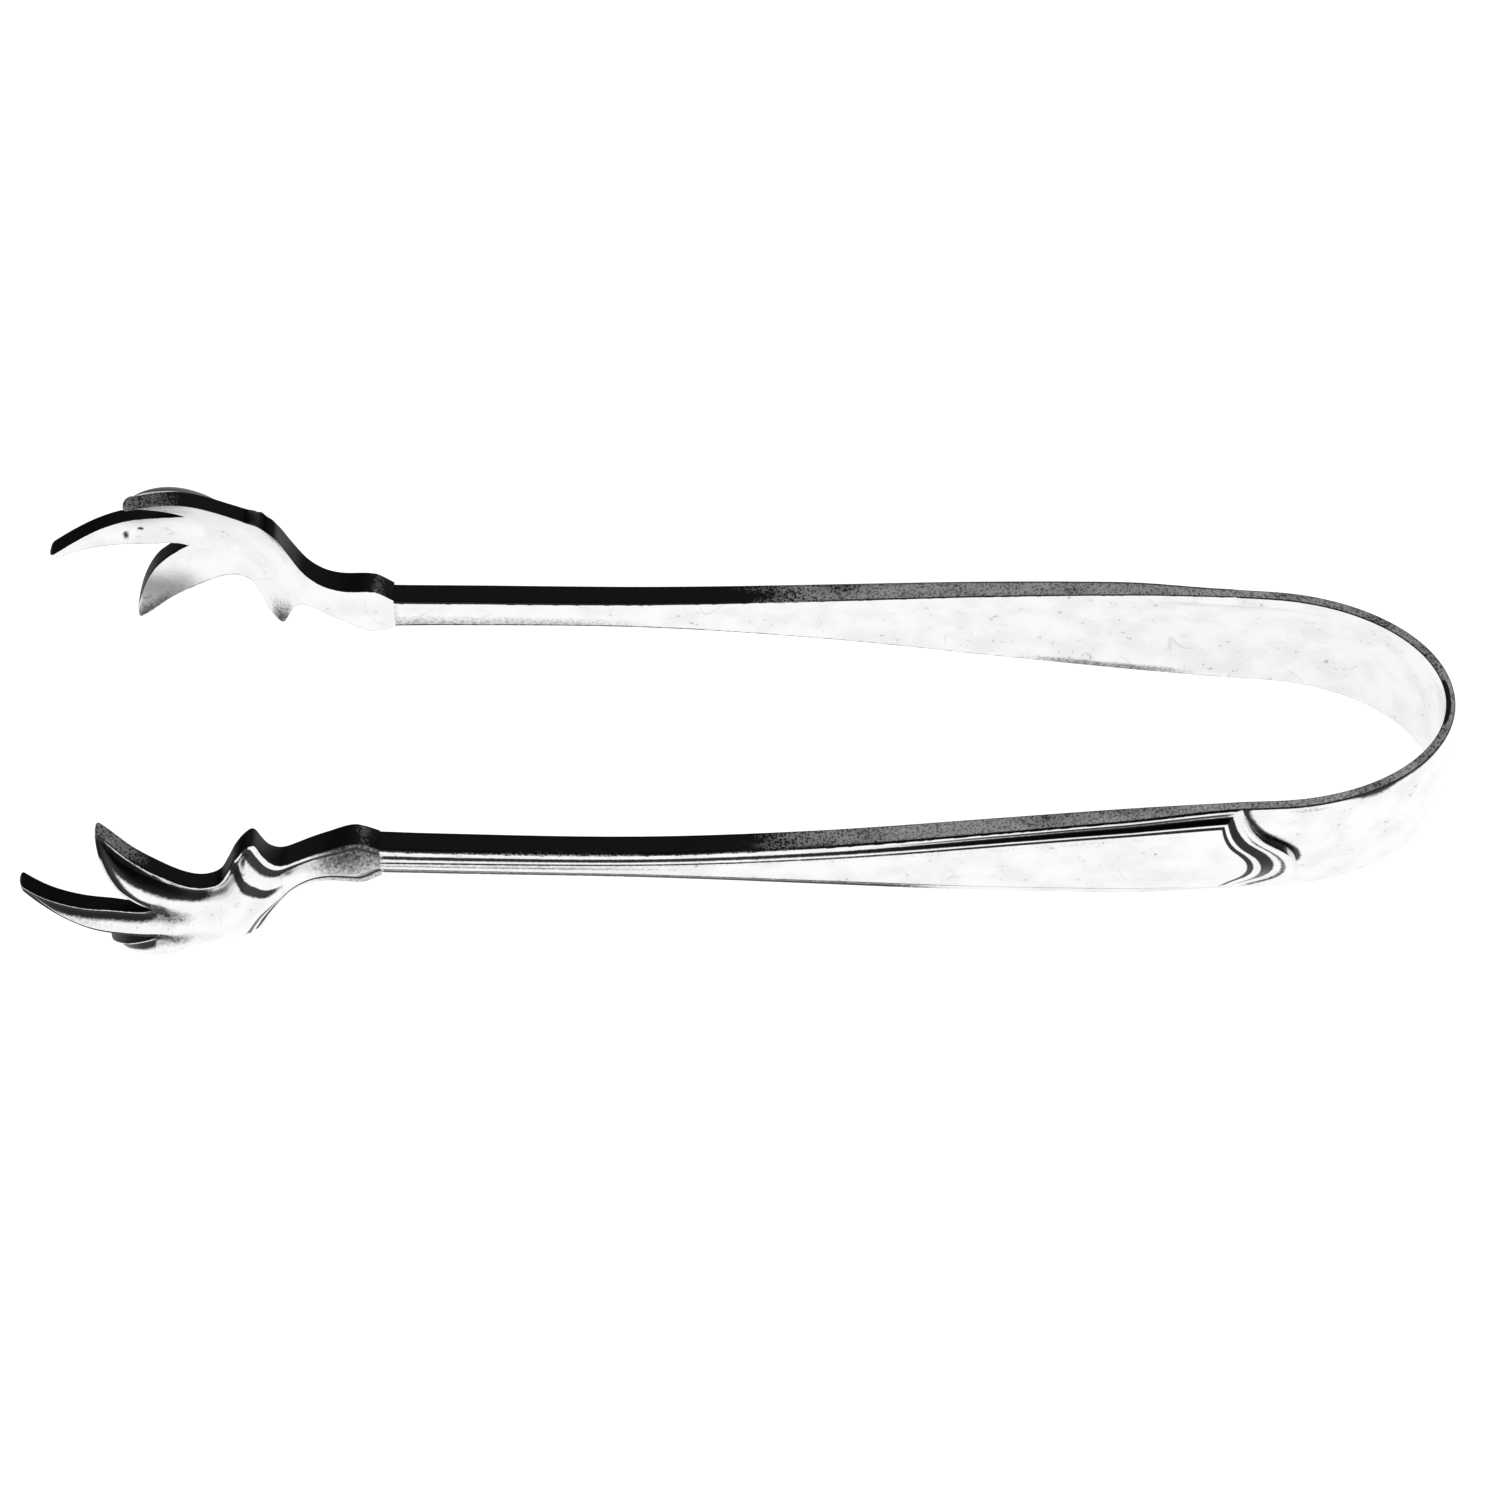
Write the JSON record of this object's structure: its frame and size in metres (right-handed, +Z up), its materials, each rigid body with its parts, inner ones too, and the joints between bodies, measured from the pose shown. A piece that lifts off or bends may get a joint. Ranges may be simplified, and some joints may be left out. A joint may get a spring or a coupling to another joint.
{
  "type": "sugar tongs",
  "caption": "One-spring silver sugar tongs: a U-shaped sheet bow carries tapering arms with a threaded border, each ending in a bird-claw grip that pinches when the arms are squeezed",
  "frame": {"origin": "centre of the footprint, at the lowest point of the lower talons", "axes": "+X along the tongs from the claws to the bow, +Y across the gap towards the right arm, +Z up, across the width of the strip, as the tongs lie on their long edges"},
  "size_m": [0.139, 0.0486, 0.0192],
  "materials": {
    "bow_silver": "polished with fine scratches",
    "arm_silver": "polished, die-struck border",
    "claw_silver": "polished, dark in the recesses"
  },
  "bodies": {
    "bow": {"bow": "bow_silver"},
    "right_side": {"right_arm": "arm_silver", "right_claw": "claw_silver"},
    "left_side": {"left_arm": "arm_silver", "left_claw": "claw_silver"}
  },
  "joints": [
    {"name": "right_arm_flex", "type": "hinge", "parent": "bow", "child": "right_side", "pos_m": [0.061, 0.0085, 0.00829], "axis": [0, 0, 1], "range_deg": [0, 7.5], "stiffness_Nm_per_rad": 5.4, "deforming": ["bow"]},
    {"name": "left_arm_flex", "type": "hinge", "parent": "bow", "child": "left_side", "pos_m": [0.061, -0.0085, 0.00829], "axis": [0, 0, 1], "range_deg": [-7.5, 0], "stiffness_Nm_per_rad": 5.4}
  ],
  "couplings": [
    {"joint": "left_arm_flex", "follows": "right_arm_flex", "ratio": -1}
  ]
}
